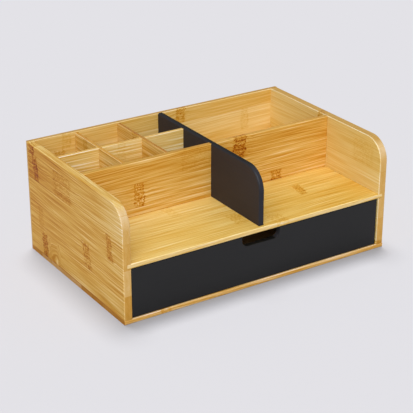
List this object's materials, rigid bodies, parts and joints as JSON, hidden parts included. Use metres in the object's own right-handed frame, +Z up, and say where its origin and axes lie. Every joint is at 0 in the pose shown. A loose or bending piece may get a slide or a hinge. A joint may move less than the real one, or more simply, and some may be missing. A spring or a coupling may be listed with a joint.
{
  "type": "desk organizer with drawer",
  "caption": "Bamboo desk organizer: open trays, small cells and a large compartment above one wide drawer with a finger notch.",
  "frame": {"origin": "centre of the base, on the surface that the organizer stands on", "axes": "+X to the right along the width, +Y from the front to the rear, +Z up"},
  "size_m": [0.33, 0.211, 0.128],
  "materials": {
    "bamboo": "satin",
    "pale_bamboo": "satin",
    "caramel_bamboo": "satin",
    "black_paint": "matte",
    "plywood": "matte",
    "beech": "matte",
    "zinc_steel": "satin"
  },
  "bodies": {
    "carcass": {"bottom_board": "bamboo", "left_side": "bamboo", "right_side": "bamboo", "back_panel": "bamboo", "shelf": "pale_bamboo", "centre_divider": "black_paint", "left_partition": "caramel_bamboo", "right_partition": "caramel_bamboo", "left_column_divider": "bamboo", "right_column_divider": "bamboo", "row_divider": "pale_bamboo", "base_screws": "zinc_steel", "back_screws": "zinc_steel"},
    "drawer": {"drawer_front": "black_paint", "drawer_left_side": "pale_bamboo", "drawer_right_side": "pale_bamboo", "drawer_back": "pale_bamboo", "drawer_bottom": "plywood", "drawer_dowels": "beech"}
  },
  "joints": [
    {"name": "drawer_slide", "type": "slide", "parent": "carcass", "child": "drawer", "axis": [0, -1, 0], "range_m": [0, 0.15]}
  ]
}
